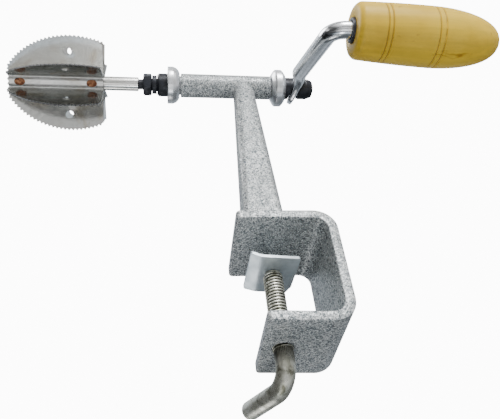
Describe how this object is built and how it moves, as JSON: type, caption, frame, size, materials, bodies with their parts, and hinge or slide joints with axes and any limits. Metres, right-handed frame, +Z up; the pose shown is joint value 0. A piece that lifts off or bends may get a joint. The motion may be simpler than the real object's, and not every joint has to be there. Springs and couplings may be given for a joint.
{
  "type": "rotary coconut scraper",
  "caption": "Hand-cranked kitchen scraper with a toothed rotary cutter head, carried on a post above a screw clamp for a table edge.",
  "frame": {"origin": "on the post's axis at the clamp's seat plane, the underside of the top jaw", "axes": "+X along the spindle from the cutter head to the crank, +Z up along the post, -Y towards the crank's side at rest"},
  "size_m": [0.2866, 0.1204, 0.2491],
  "materials": {
    "hammered_paint": "silver hammered paint",
    "bright_zinc": "bright plated",
    "black_oxide": "blued black steel",
    "spindle_steel": "turned steel",
    "stainless_blade": "pressed stainless sheet, satin",
    "crank_chrome": "plated steel rod",
    "bearing_steel": "polished",
    "yellow_lacquered_wood": "yellow lacquer",
    "ferrule_steel": "dark steel",
    "screw_zinc": "pale yellow zinc",
    "galvanised_sheet": "galvanised"
  },
  "bodies": {
    "frame": {"clamp_bracket": "hammered_paint", "post": "hammered_paint", "barrel_tube": "hammered_paint", "bearing_cup_left": "bright_zinc", "bearing_cup_right": "bright_zinc"},
    "spindle": {"spindle_shaft": "spindle_steel", "cutter_leaf_1": "stainless_blade", "cutter_leaf_2": "stainless_blade", "cutter_leaf_3": "stainless_blade", "cutter_leaf_4": "stainless_blade", "lock_nut": "black_oxide", "spacer_collar": "black_oxide", "cone_left": "black_oxide", "cone_right": "black_oxide", "crank_arm": "crank_chrome", "eye_washer": "black_oxide", "end_nut": "black_oxide"},
    "balls_left": {"ball_left_1": "bearing_steel", "ball_left_2": "bearing_steel", "ball_left_3": "bearing_steel", "ball_left_4": "bearing_steel", "ball_left_5": "bearing_steel", "ball_left_6": "bearing_steel", "ball_left_7": "bearing_steel", "ball_left_8": "bearing_steel", "ball_left_9": "bearing_steel", "ball_left_10": "bearing_steel"},
    "balls_right": {"ball_right_1": "bearing_steel", "ball_right_2": "bearing_steel", "ball_right_3": "bearing_steel", "ball_right_4": "bearing_steel", "ball_right_5": "bearing_steel", "ball_right_6": "bearing_steel", "ball_right_7": "bearing_steel", "ball_right_8": "bearing_steel", "ball_right_9": "bearing_steel", "ball_right_10": "bearing_steel"},
    "grip": {"wooden_grip": "yellow_lacquered_wood", "grip_ferrule": "ferrule_steel"},
    "pad": {"pressure_pad": "galvanised_sheet"},
    "screw": {"clamp_screw": "screw_zinc"}
  },
  "joints": [
    {"name": "spindle_spin", "type": "hinge", "parent": "frame", "child": "spindle", "pos_m": [0, 0, 0.1375], "axis": [1, 0, 0], "continuous": true},
    {"name": "balls_left_roll", "type": "hinge", "parent": "frame", "child": "balls_left", "pos_m": [-0.0469, 0, 0.1375], "axis": [1, 0, 0], "continuous": true},
    {"name": "balls_right_roll", "type": "hinge", "parent": "frame", "child": "balls_right", "pos_m": [0.0247, 0, 0.1375], "axis": [1, 0, 0], "continuous": true},
    {"name": "grip_spin", "type": "hinge", "parent": "spindle", "child": "grip", "pos_m": [0.05099, -0.07058, 0.09776], "axis": [0.9988, 0.0237, -0.0427], "continuous": true},
    {"name": "pad_lift", "type": "slide", "parent": "frame", "child": "pad", "axis": [0, 0, 1], "range_m": [-0.0272, 0]},
    {"name": "screw_turn", "type": "hinge", "parent": "pad", "child": "screw", "pos_m": [0.0015, 0, -0.04], "axis": [0, 0, 1], "range_deg": [-5765, 5]}
  ],
  "couplings": [
    {"joint": "balls_left_roll", "follows": "spindle_spin", "ratio": 0.3846},
    {"joint": "balls_right_roll", "follows": "spindle_spin", "ratio": 0.3846},
    {"joint": "screw_turn", "follows": "pad_lift", "rad_per_m": 3696}
  ]
}
